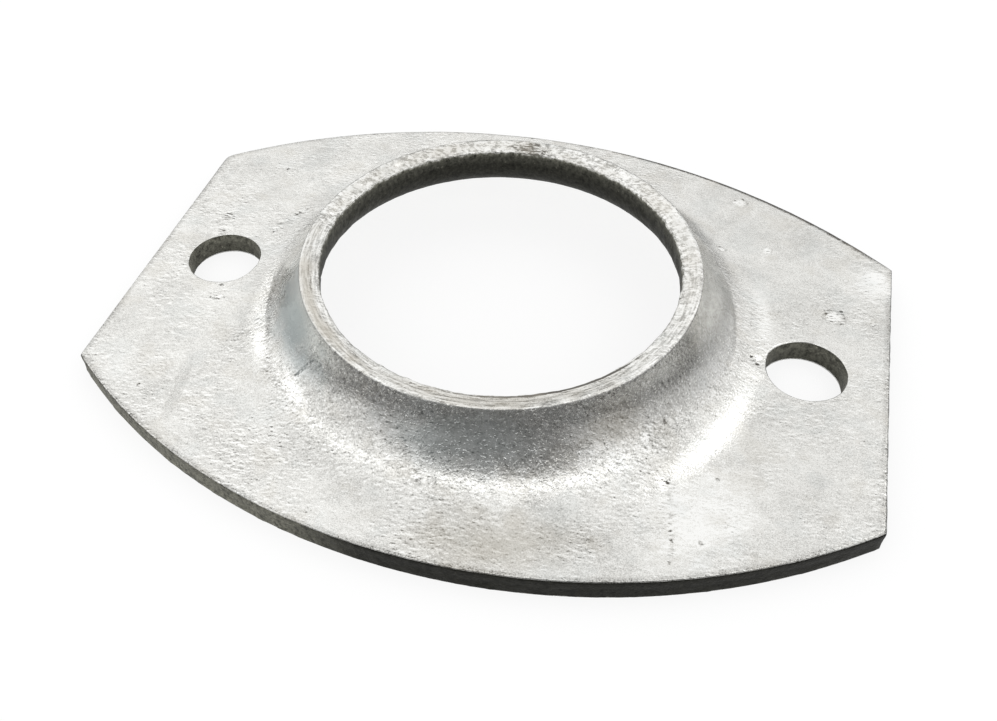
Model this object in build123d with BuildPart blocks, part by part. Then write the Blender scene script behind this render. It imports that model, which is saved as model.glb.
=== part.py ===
from build123d import *
from math import radians, tan
import os

os.makedirs("parts", exist_ok=True)

# Tube clamp base flange: one pressed and pierced steel plate, hot-dip galvanised.
# Its middle is drawn up into a round collar that a 48.3 mm tube passes through,
# and a bolt hole stands either side of it.
# Millimetres. X runs through both bolt holes and +Z points up through the collar.
# The origin is on the bore's axis, in the plane of the underside.

# The plate: a strip cut to length, with bowed long edges
plate_length = 109.0
plate_width = 87.0
long_edge_radius = 87.0
thickness = 3.5
sheared_edge_roll = 0.45

# The bolt holes: an 11 mm punch, less the zinc on the wall
bolt_hole_diameter = 10.8
bolt_pitch = 87.0
hole_mouth_break = 0.25

# The collar: the drawn sheet thins from the plate to its rim, and its pierced edge
# is the rim's narrow face, which tips in towards the bore as the neck leans in
bore_diameter = 50.0
overall_height = 14.0
rim_width = 2.6
rim_fall = 0.7
rim_outer_break = 0.35
rim_inner_break = 0.25
neck_slope = 70.0
neck_sweep_radius = 13.0

# Under the collar: a straight land in the bore, a throat that turns out from it,
# and a dished skirt that runs down to the underside
bore_land = 2.2
throat_radius = 5.2
skirt_slope = 36.0
skirt_blend_radius = 14.0

# Worked out from the dimensions above
bore_radius = bore_diameter / 2
rim_radius = bore_radius + rim_width
rim_tip = rim_fall / rim_width
rim_inner_height = overall_height - rim_fall
neck_run = 1 / tan(radians(neck_slope))
neck_foot = rim_radius + (overall_height - thickness) * neck_run
throat_turn = radians(90 - skirt_slope)
throat_corner = rim_inner_height - bore_land - throat_radius * tan(throat_turn / 2)
skirt_foot = bore_radius + throat_corner / tan(radians(skirt_slope))
collar_reach = plate_width / 2 - 1.5
arc_centre_offset = long_edge_radius - plate_width / 2
cone_top = thickness + 0.5
cone_radius = bolt_hole_diameter / 2 + hole_mouth_break + cone_top - thickness

with BuildPart() as flange:
    # The blank, open where the collar goes, its top edges rolled over by the shear
    with BuildSketch():
        Rectangle(plate_length, plate_width)
        for arc_centre in (arc_centre_offset, -arc_centre_offset):
            with Locations((0, arc_centre)):
                Circle(long_edge_radius, mode=Mode.INTERSECT)
        Circle(collar_reach, mode=Mode.SUBTRACT)
    extrude(amount=thickness)
    outline = flange.faces().sort_by(Axis.Z)[-1].outer_wire().edges()
    fillet(outline, sheared_edge_roll)

    # The collar's section, turned round the bore
    with BuildSketch(Plane.XZ):
        with BuildLine():
            FilletPolyline(
                (collar_reach, 0),
                (collar_reach, thickness),
                (neck_foot, thickness),
                (rim_radius + rim_outer_break * neck_run, overall_height - rim_outer_break),
                (rim_radius - rim_outer_break, overall_height - rim_outer_break * rim_tip),
                (bore_radius + rim_inner_break, rim_inner_height + rim_inner_break * rim_tip),
                (bore_radius, rim_inner_height - rim_inner_break),
                (bore_radius, throat_corner),
                (skirt_foot, 0),
                radius=(
                    0,
                    0,
                    neck_sweep_radius,
                    0,
                    0,
                    0,
                    0,
                    throat_radius,
                    skirt_blend_radius,
                ),
                close=True,
            )
        make_face()
    revolve(axis=Axis.Z)
    # The bolt holes, with their mouths broken by the punch
    with Locations((-bolt_pitch / 2, 0, cone_top), (bolt_pitch / 2, 0, cone_top)):
        CounterSinkHole(bolt_hole_diameter / 2, cone_radius, counter_sink_angle=90)

flange.part.label = "flange_plate"
export_step(flange.part, "parts/flange_plate.step")
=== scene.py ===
"""Tube clamp base flange: the looks of the galvanised plate and the studio round it.

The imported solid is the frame. One detailed skin replaces it: the same plate, collar,
bore and bolt holes, with the rolled and sheared edges, the zinc's lumps and drops and
the tools' marks worked into its surface. Everything is in metres in the part's own
frame: X through both bolt holes, +Z up the bore, the origin on the bore's axis in the
plane of the underside.
"""

import logging
import math
from dataclasses import dataclass, field
from enum import Enum
from typing import Any, Sequence

import bpy
import numpy as np
from mathutils import Matrix, Vector

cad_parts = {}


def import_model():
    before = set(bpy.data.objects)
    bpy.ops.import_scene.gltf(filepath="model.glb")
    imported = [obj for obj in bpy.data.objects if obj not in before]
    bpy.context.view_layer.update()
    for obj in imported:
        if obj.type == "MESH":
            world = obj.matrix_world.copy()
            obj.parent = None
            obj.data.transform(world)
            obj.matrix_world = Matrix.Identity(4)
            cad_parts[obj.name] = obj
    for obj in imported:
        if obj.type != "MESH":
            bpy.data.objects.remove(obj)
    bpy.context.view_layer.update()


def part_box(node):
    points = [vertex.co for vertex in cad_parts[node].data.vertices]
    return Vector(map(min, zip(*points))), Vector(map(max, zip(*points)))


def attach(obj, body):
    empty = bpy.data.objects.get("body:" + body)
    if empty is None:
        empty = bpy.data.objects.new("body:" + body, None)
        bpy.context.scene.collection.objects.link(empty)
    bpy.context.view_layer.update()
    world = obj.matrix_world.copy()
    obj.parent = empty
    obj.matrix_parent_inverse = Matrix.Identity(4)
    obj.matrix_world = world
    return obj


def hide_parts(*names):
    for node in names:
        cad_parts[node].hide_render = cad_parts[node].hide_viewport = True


LOG = logging.getLogger("flange")
MM = 0.001

LATTICE_PRIMES = (73856093, 19349663, 83492791)
SQUARE = ((-1, -1), (1, -1), (1, 1), (-1, 1))

Array = np.ndarray
Colour = tuple[float, float, float]


# --- Smooth noise, for shapes ---


def ease(low: float, high: float, value: Array) -> Array:
    """Smooth step: 0 at low, 1 at high, with a level start and end.

    Args:
        low: Where the step starts.
        high: Where the step ends. It may be the smaller of the two.
        value: What is tested.

    Returns:
        3t^2 - 2t^3, with t the clamped fraction of the way from low to high.
    """
    t = np.clip((value - low) / (high - low), 0.0, 1.0)
    return t * t * (3.0 - 2.0 * t)


def bell(value: Array, width: float) -> Array:
    """A bell: 1 where the value is 0, and 1/e one width away."""
    return np.exp(-((value / width) ** 2))


def polar(points: Array) -> tuple[Array, Array]:
    """Distances from the bore's axis, and bearings in degrees from +X towards +Y."""
    return np.hypot(points[:, 0], points[:, 1]), np.degrees(np.arctan2(points[:, 1], points[:, 0]))


def lattice_value(cells: Array, seed: int) -> Array:
    """Gives each cell of an endless lattice its own number from -1 to 1.

    Args:
        cells: Whole-numbered cell positions, in rows of three.
        seed: Which set of numbers.

    Returns:
        One number for each row, from a hash of the cell's position.
    """
    key = cells.astype(np.int64).astype(np.uint64)
    mixed = np.full(len(key), seed * 2654435761 % 2**32, np.uint64)
    for axis, prime in enumerate(LATTICE_PRIMES):
        mixed ^= key[:, axis] * np.uint64(prime)
    mixed = (mixed ^ (mixed >> np.uint64(13))) * np.uint64(1274126177)
    mixed ^= mixed >> np.uint64(16)
    return (mixed & np.uint64(0xFFFF)).astype(float) / 32767.5 - 1.0


def noise(points: Array, grain: float | Sequence[float], seed: int) -> Array:
    """Smooth noise whose lumps are one grain across.

    Args:
        points: Positions in metres, in rows of three.
        grain: The lattice's pitch in metres, one number or one for each axis.
        seed: Which pattern.

    Returns:
        A number from -1 to 1 for each point: the lattice's values at the eight corners
        round it, blended by the smooth step along each axis.
    """
    scaled = points / np.asarray(grain)
    base = np.floor(scaled)
    t = ease(0.0, 1.0, scaled - base)
    total = np.zeros(len(points))
    for corner in range(8):
        step = np.array([corner & 1, corner >> 1 & 1, corner >> 2 & 1])
        weight = np.prod(np.where(step == 1, t, 1.0 - t), axis=1)
        total += weight * lattice_value(base + step, seed)
    return total


def layered_noise(points: Array, grain: float, seed: int, layers: int = 3) -> Array:
    """Noise on several scales, each half the size and height of the last.

    Args:
        points: Positions in metres, in rows of three.
        grain: The size of the largest lumps in metres.
        seed: Which pattern.
        layers: How many scales.

    Returns:
        The sum, for each point, over the layers.
    """
    total = np.zeros(len(points))
    for layer in range(layers):
        total += noise(points, grain / 2**layer, seed + layer) / 2**layer
    return total


# --- The plate's outline and section ---


@dataclass(frozen=True)
class Outline:
    """The blank's outline: two cut ends and two bowed long edges.

    Attributes:
        half_length: From the centre to a cut end.
        half_width: From the centre to the middle of a bowed edge.
        bow_radius: The bowed edges' radius.
        corner_wear: How blunt the corners are.
        worst_wear: How much blunter still the corner towards -X and +Y is.
        worst_spread: How far round that wear goes, in radians.
    """

    half_length: float
    half_width: float
    bow_radius: float
    corner_wear: float = 0.09 * MM
    worst_wear: float = 2.5
    worst_spread: float = 0.1

    def corner_azimuth(self) -> float:
        """The azimuth of the corner in the first quadrant, in radians."""
        height = math.sqrt(self.bow_radius**2 - self.half_length**2)
        rise = height - (self.bow_radius - self.half_width)
        return math.atan2(rise, self.half_length)

    def reach(self, azimuth: Array, inset: Array | float = 0.0) -> Array:
        """How far the outline is from the centre.

        Args:
            azimuth: Directions in radians.
            inset: How far inside the outline to measure.

        Returns:
            The nearer of the cut end, half_length / |cos|, and the bowed edge, where a
            ray from the centre meets the edge's circle. A soft minimum blends the two,
            which wears the corners, most of all the one towards -X and +Y.
        """
        radius = self.bow_radius - inset
        offset = self.bow_radius - self.half_width
        bowed = np.sqrt(radius**2 - (offset * np.cos(azimuth)) ** 2)
        bowed = bowed - offset * np.abs(np.sin(azimuth))
        cut = (self.half_length - inset) / np.maximum(np.abs(np.cos(azimuth)), 0.05)
        away = np.angle(np.exp(1j * (azimuth - math.pi + self.corner_azimuth())))
        blunt = self.corner_wear * (1.0 + self.worst_wear * bell(away, self.worst_spread))
        nearer = np.minimum(bowed, cut)
        return nearer - blunt * np.log1p(np.exp((nearer - np.maximum(bowed, cut)) / blunt))


def straight(start: Sequence[float], stop: Sequence[float], count: int) -> Array:
    """Points evenly spaced along a line, without its last.

    Args:
        start: The first point, as radius and height.
        stop: The end, which the next stretch starts at.
        count: How many points.

    Returns:
        An array of count rows: start + (stop - start) * k / count.
    """
    t = np.arange(count)[:, None] / count
    return np.asarray(start) * (1 - t) + np.asarray(stop) * t


def rounded(corner: Sequence[float], before: float, after: float, radius: float) -> Array:
    """The start, middle and end of the round at a corner of the section.

    Args:
        corner: Where the two straight lines meet, as radius and height.
        before: The direction of travel before the corner, in degrees.
        after: The direction of travel after it, in degrees.
        radius: The round's radius.

    Returns:
        Rows: where the round starts, its centre, where it ends. The tangents are
        radius * tan(turn / 2) long.
    """
    turn = math.radians((after - before + 180.0) % 360.0 - 180.0)
    tangent = radius * math.tan(abs(turn) / 2)
    ahead = np.array([math.cos(math.radians(before)), math.sin(math.radians(before))])
    away = np.array([math.cos(math.radians(after)), math.sin(math.radians(after))])
    side = np.array([-ahead[1], ahead[0]]) * math.copysign(radius, turn)
    start = np.asarray(corner) - ahead * tangent
    return np.array([start, start + side, np.asarray(corner) + away * tangent])


def turned(places: Array, count: int) -> Array:
    """Points along a round from its start to just before its end.

    Args:
        places: The round's start, centre and end.
        count: How many points.

    Returns:
        An array of count rows: the centre plus the start's arm turned in even steps.
    """
    start, centre, stop = places
    first = math.atan2(*(start - centre)[::-1])
    last = math.atan2(*(stop - centre)[::-1])
    sweep = (last - first + math.pi) % (2 * math.pi) - math.pi
    angle = first + sweep * np.arange(count) / count
    radius = float(np.linalg.norm(start - centre))
    return centre + radius * np.stack([np.cos(angle), np.sin(angle)], axis=1)


@dataclass(frozen=True)
class CollarSection:
    """The collar's section, as radius and height from the bore's axis and the underside.

    The pierced edge is the rim's narrow face, which tips in towards the bore. Outside,
    a leaning neck sweeps out into the plate. Inside, a short land turns through the
    throat into a dished skirt.

    Attributes:
        bore_radius: The bore's.
        height: The rim's highest corner above the underside.
        thickness: The plate's, and so on: lengths in metres and slopes in degrees.
        split: The radius where the plate's own grid takes over.
        upper_rows: Rows on the land, inner roll, rim, outer roll, neck and sweep.
        lower_rows: Rows on the skirt's blend, the skirt and the throat.
    """

    bore_radius: float
    height: float
    thickness: float = 3.5 * MM
    rim_width: float = 2.6 * MM
    rim_fall: float = 0.7 * MM
    rim_outer_roll: float = 0.5 * MM
    rim_inner_roll: float = 0.3 * MM
    neck_slope: float = 70.0
    neck_sweep: float = 13.0 * MM
    bore_land: float = 2.2 * MM
    throat_radius: float = 5.2 * MM
    skirt_slope: float = 36.0
    skirt_blend: float = 14.0 * MM
    split: float = 34.0 * MM
    upper_rows: tuple[int, ...] = (6, 5, 11, 7, 5, 30)
    lower_rows: tuple[int, ...] = (6, 9, 10)

    def rim_corners(self) -> tuple[Array, Array]:
        """The rim face's inner and outer corners."""
        inner = np.array([self.bore_radius, self.height - self.rim_fall])
        return inner, inner + np.array([self.rim_width, self.rim_fall])

    def sweep_places(self) -> Array:
        """The start, centre and end of the sweep from the neck into the plate."""
        rise = self.height - self.thickness
        foot = self.rim_corners()[1][0] + rise / math.tan(math.radians(self.neck_slope))
        return rounded((foot, self.thickness), -self.neck_slope, 0.0, self.neck_sweep)

    def throat_corner(self) -> Array:
        """Where the land's line and the skirt's line meet."""
        inner = self.rim_corners()[0]
        turn = math.radians(90.0 - self.skirt_slope)
        drop = self.bore_land + self.throat_radius * math.tan(turn / 2)
        return inner - np.array([0.0, drop])

    def throat_places(self) -> Array:
        """The start, centre and end of the throat, travelling up the bore."""
        travel = 180.0 - self.skirt_slope
        return rounded(self.throat_corner(), travel, 90.0, self.throat_radius)

    def skirt_places(self) -> Array:
        """The start, centre and end of the skirt's blend, travelling inwards."""
        corner = self.throat_corner()
        foot = corner[0] + corner[1] / math.tan(math.radians(self.skirt_slope))
        return rounded((foot, 0.0), 180.0, 180.0 - self.skirt_slope, self.skirt_blend)

    def top_height(self, radius: Array) -> Array:
        """The plate's top at a radius past the split.

        Args:
            radius: Distances from the bore's axis.

        Returns:
            The sweep's circle inside its foot, and the flat plate outside it.
        """
        centre, foot = self.sweep_places()[1:]
        inside = np.clip(foot[0] - radius, 0.0, self.neck_sweep)
        return centre[1] - np.sqrt(self.neck_sweep**2 - inside**2)

    def under_height(self, radius: Array) -> Array:
        """The underside at a radius past the split.

        Args:
            radius: Distances from the bore's axis.

        Returns:
            The skirt's line, its blend's circle, and zero outside the blend's foot.
        """
        foot, centre, top = self.skirt_places()
        inside = np.clip(foot[0] - radius, 0.0, foot[0] - top[0])
        blend = centre[1] - np.sqrt(self.skirt_blend**2 - inside**2)
        line = np.maximum(top[0] - radius, 0.0) * math.tan(math.radians(self.skirt_slope))
        return blend + line

    def upper_points(self) -> Array:
        """The section from the land's foot up over the rim and down to the split.

        Returns:
            Rows of radius and height, closer together on the rim than on the sweep.
        """
        inner, outer = self.rim_corners()
        tip = math.degrees(math.atan2(self.rim_fall, self.rim_width))
        inner_roll = rounded(inner, 90.0, tip, self.rim_inner_roll)
        outer_roll = rounded(outer, tip, -self.neck_slope, self.rim_outer_roll)
        sweep = self.sweep_places()
        land_foot = self.throat_places()[2]
        past = sweep[2][0] - self.split
        angle = math.asin(past / self.neck_sweep)
        split = sweep[1] + self.neck_sweep * np.array([-math.sin(angle), -math.cos(angle)])
        land, inner_turn, face, outer_turn, neck, swept = self.upper_rows
        return np.concatenate(
            [
                straight(land_foot, inner_roll[0], land),
                turned(inner_roll, inner_turn),
                straight(inner_roll[2], outer_roll[0], face),
                turned(outer_roll, outer_turn),
                straight(outer_roll[2], sweep[0], neck),
                turned(np.array([sweep[0], sweep[1], split]), swept),
            ]
        )

    def lower_points(self) -> Array:
        """The section from the split in the underside, up the skirt to the land's foot."""
        top = self.skirt_places()[2]
        throat = self.throat_places()
        split = np.array([self.split, float(self.under_height(np.array(self.split)))])
        blend = np.array([split, self.skirt_places()[1], top])
        foot, skirt, turn = self.lower_rows
        return np.concatenate(
            [turned(blend, foot), straight(top, throat[0], skirt), turned(throat, turn)]
        )


# --- Marks in the zinc ---


class MarkKind(Enum):
    """What a mark in the zinc looks like."""

    DROP = "a raised and wrinkled drop of zinc"
    SPECK = "a small dark pit"
    BRUISE = "a rough dent"


@dataclass(frozen=True)
class Mark:
    """One spot on the plate.

    Attributes:
        kind: What it looks like.
        x: Its place along the plate, in millimetres.
        y: Its place across the plate, in millimetres.
        size: Its radius in millimetres.
        relief: How high or deep it is, in millimetres.
    """

    kind: MarkKind
    x: float
    y: float
    size: float
    relief: float

    def height(self, points: Array, seed: int) -> Array:
        """The mark's relief.

        Args:
            points: Positions in metres, in rows of three.
            seed: Which ragged edge.

        Returns:
            Metres along the normal: a bell over the distance to the middle with noise
            added, up for a drop and down for the others.
        """
        offset = points[:, :2] / MM - np.array([self.x, self.y])
        ragged = 1.0 + 0.5 * noise(points, self.size * 0.8 * MM, seed)
        hump = np.exp(-2.2 * (np.hypot(offset[:, 0], offset[:, 1]) / self.size * ragged) ** 2)
        return hump * self.relief * MM * (1.0 if self.kind is MarkKind.DROP else -1.0)

    def painted(self, canvas: "Canvas") -> tuple["Wire", "Wire"]:
        """What the mark does to the zinc's colour.

        Args:
            canvas: Where it is painted.

        Returns:
            How much lighter the zinc is, or darker where negative, and how much more
            wrinkled, from the distance to the mark's middle over its size. A drop's
            lighter middle is a painted highlight, and its broken dark ring a painted shadow.
        """
        mix = canvas.mix
        away = mix.vector("DISTANCE", canvas.flat, (self.x, self.y, 0.0), out="Value")
        away = away * (1.0 / self.size)
        cover = mix.ramp(away, 0.9, 0.25)
        # A drop: a painted highlight in its middle and a painted shadow as its broken dark ring.
        if self.kind is MarkKind.DROP:
            ring = (mix.ramp(away, 1.0, 0.8) - cover) * mix.ramp(canvas.breaks, 0.40, 0.60)
            return cover * 0.50 - ring * 0.45, cover * 2.0
        if self.kind is MarkKind.SPECK:
            return cover * -0.95, cover * 0.5
        return cover * -0.25, cover * 2.5


@dataclass(frozen=True)
class Crease:
    """A fine wrinkle in the zinc, along a short curve.

    Attributes:
        start: One end, in millimetres along and across the plate.
        stop: The other end.
        bend: How far its middle stands to the left of a straight line.
        width: Its width in millimetres.
        depth: Its depth in millimetres.
        shade_and_grey: How dark the painted shade in its floor is; for a smooth run, how grey its
            band is.
        smooth: Whether it is a smooth grey run in place of a wrinkle.
    """

    start: tuple[float, float]
    stop: tuple[float, float]
    bend: float
    width: float
    depth: float
    shade_and_grey: float
    smooth: bool = False

    def axes(self) -> tuple[Array, Array, float]:
        """The unit vectors along and to the left of it, and its length."""
        run = np.array(self.stop) - np.array(self.start)
        span = float(np.linalg.norm(run))
        along = run / span
        return along, np.array([-along[1], along[0]]), span

    def height(self, points: Array, seed: int) -> Array:
        """The crease's relief.

        Args:
            points: Positions in metres, in rows of three.
            seed: Which wander.

        Returns:
            Metres along the normal: a valley and a lower ridge beside it, both bells
            across the curve. The curve is a parabola through both ends, made to wander
            by noise, and it fades out at them.
        """
        along, side, span = self.axes()
        offset = points[:, :2] / MM - np.array(self.start)
        t = offset @ along / span
        wander = 0.4 * noise(points, 3.0 * MM, seed)
        across = offset @ side - self.bend * 4.0 * t * (1.0 - t) + wander
        fade = ease(-0.05, 0.15, t) * ease(1.05, 0.8, t)
        ridge = bell(across / self.width - 1.8, 1.0)
        return (0.6 * ridge - bell(across, self.width)) * fade * self.depth * MM

    def painted(self, canvas: "Canvas") -> tuple["Wire", "Wire"]:
        """What the crease does to the zinc's colour.

        Args:
            canvas: Where it is painted.

        Returns:
            How much lighter the zinc is, or darker where negative, and how much more
            wrinkled: a broken line of painted shade along the same parabola, in a wider
            wrinkled band, or a smooth run as an even grey band that fades at its ends.
        """
        mix = canvas.mix
        along, side, span = self.axes()
        start = np.array(self.start)
        t = mix.dot(canvas.flat, along / span) - float(start @ along / span)
        across = mix.dot(canvas.flat, side) - float(start @ side)
        across = across - t * (1.0 - t) * (4.0 * self.bend) + (canvas.drift - 0.5) * 1.6
        away = across.apart(0.0) * (1.0 / self.width)
        if self.smooth:
            band = mix.ramp(away, 1.2, 0.5) * mix.ramp(t, -0.05, 0.3) * mix.ramp(t, 1.05, 0.4)
            return band * -self.shade_and_grey, band * -1.5
        # The crease's line is painted shade in its floor.
        ends = mix.ramp(t, -0.05, 0.12) * mix.ramp(t, 1.05, 0.85)
        line = mix.ramp(away, 1.2, 0.1) * ends * mix.ramp(canvas.breaks, 0.42, 0.60)
        return line * -self.shade_and_grey, mix.ramp(away, 3.5, 1.0) * ends * (1.5 * self.shade_and_grey)


@dataclass(frozen=True)
class SheenLine:
    """A fine line of painted highlight, part of the way round the bore along the neck's foot.

    Attributes:
        radius: Its distance from the bore's axis, in millimetres.
        start: Where it starts, in degrees from +X towards +Y.
        stop: Where it stops.
        width: Its width in millimetres.
        light: How much lighter it is, or darker where negative.
    """

    radius: float
    start: float
    stop: float
    width: float
    light: float

    def painted(self, canvas: "Canvas") -> "Wire":
        """How much lighter the painted highlight line makes the zinc, or darker where negative.

        Args:
            canvas: Where it is painted.

        Returns:
            The line's light times a step over the distance to its circle, broken up
            by noise and fading out at its ends.
        """
        mix = canvas.mix
        away = canvas.radius + (canvas.drift - 0.5) * 0.5 - self.radius
        line = mix.ramp(away.apart(0.0), self.width / 2, 0.0)
        line = line * mix.ramp(canvas.azimuth, self.start, self.start + 5.0)
        line = line * mix.ramp(canvas.azimuth, self.stop, self.stop - 5.0)
        return line * mix.ramp(canvas.breaks, 0.36, 0.60) * self.light


class Hue(Enum):
    """What a patch does to the zinc. The values name the mesh's covers. The shade patches lighten
    or darken the tone: mostly painted highlights and painted shade, and a few the zinc's own stains
    and tone.
    """

    WARM = "warm"
    COOL = "cool"
    SHEEN_SHADE_STAIN = "shade"
    ROUGH = "rough"


@dataclass(frozen=True)
class Patch:
    """A patch where the zinc looks different, placed round the bore.

    Attributes:
        hue: What it does.
        radius: Its middle's distance from the bore's axis, in millimetres.
        azimuth: Its middle's bearing, in degrees from +X towards +Y.
        reach: Half its width outwards, in millimetres.
        sweep: Half its width round the bore, in degrees.
        amount: How strong it is, which may be negative.
        core: The share of it that is at full strength.
    """

    hue: Hue
    radius: float
    azimuth: float
    reach: float
    sweep: float
    amount: float
    core: float = 0.1

    def cover(self, points: Array) -> Array:
        """How much of the patch each point has.

        Args:
            points: Positions in metres, in rows of three.

        Returns:
            The amount times a step over the distance to the middle, measured against
            the patch's widths and made ragged by noise.
        """
        radius, azimuth = polar(points)
        turn = (azimuth - self.azimuth + 180.0) % 360.0 - 180.0
        away = np.hypot((radius / MM - self.radius) / self.reach, turn / self.sweep)
        away += 0.18 * layered_noise(points, 2.2 * MM, 55)
        return self.amount * ease(1.0, self.core, away)


# --- The plate's skin ---


@dataclass
class Skin:
    """Vertices and four-sided faces that are being put together.

    Attributes:
        points: Blocks of vertex positions.
        faces: Blocks of faces.
    """

    points: list[Array] = field(default_factory=list)
    faces: list[Array] = field(default_factory=list)

    def add_points(self, block: Array) -> Array:
        """Adds vertices.

        Args:
            block: Positions, with three numbers in the last axis.

        Returns:
            Their numbers, in the block's shape less its last axis.
        """
        start = sum(len(b) for b in self.points)
        flat = block.reshape(-1, 3)
        self.points.append(flat)
        return np.arange(start, start + len(flat)).reshape(block.shape[:-1])

    def add_strip(self, grid: Array, keep: Array | None = None) -> None:
        """Adds the faces of a grid of vertices that closes round its first axis.

        Args:
            grid: Vertex numbers. Its rows follow each other round.
            keep: Which cells to fill, or all of them.
        """
        ahead = np.roll(grid, -1, axis=0)
        quads = np.stack([grid[:, :-1], grid[:, 1:], ahead[:, 1:], ahead[:, :-1]], axis=-1)
        quads = quads[keep] if keep is not None else quads.reshape(-1, 4)
        self.faces.append(quads.reshape(-1, 4))

    def gathered(self) -> tuple[Array, Array]:
        """All the vertices and all the faces."""
        return np.concatenate(self.points), np.concatenate(self.faces)


def vertex_normals(points: Array, faces: Array) -> Array:
    """The outward direction at each vertex.

    Args:
        points: Vertex positions.
        faces: Four-sided faces, as vertex numbers.

    Returns:
        Unit vectors: the sum of the crossed diagonals of the faces round each vertex.
    """
    crossed = np.cross(
        points[faces[:, 2]] - points[faces[:, 0]], points[faces[:, 3]] - points[faces[:, 1]]
    )
    total = np.zeros_like(points)
    for corner in range(4):
        for axis in range(3):
            total[:, axis] += np.bincount(
                faces[:, corner], weights=crossed[:, axis], minlength=len(points)
            )
    return total / np.maximum(np.linalg.norm(total, axis=1, keepdims=True), 1e-12)


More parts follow.
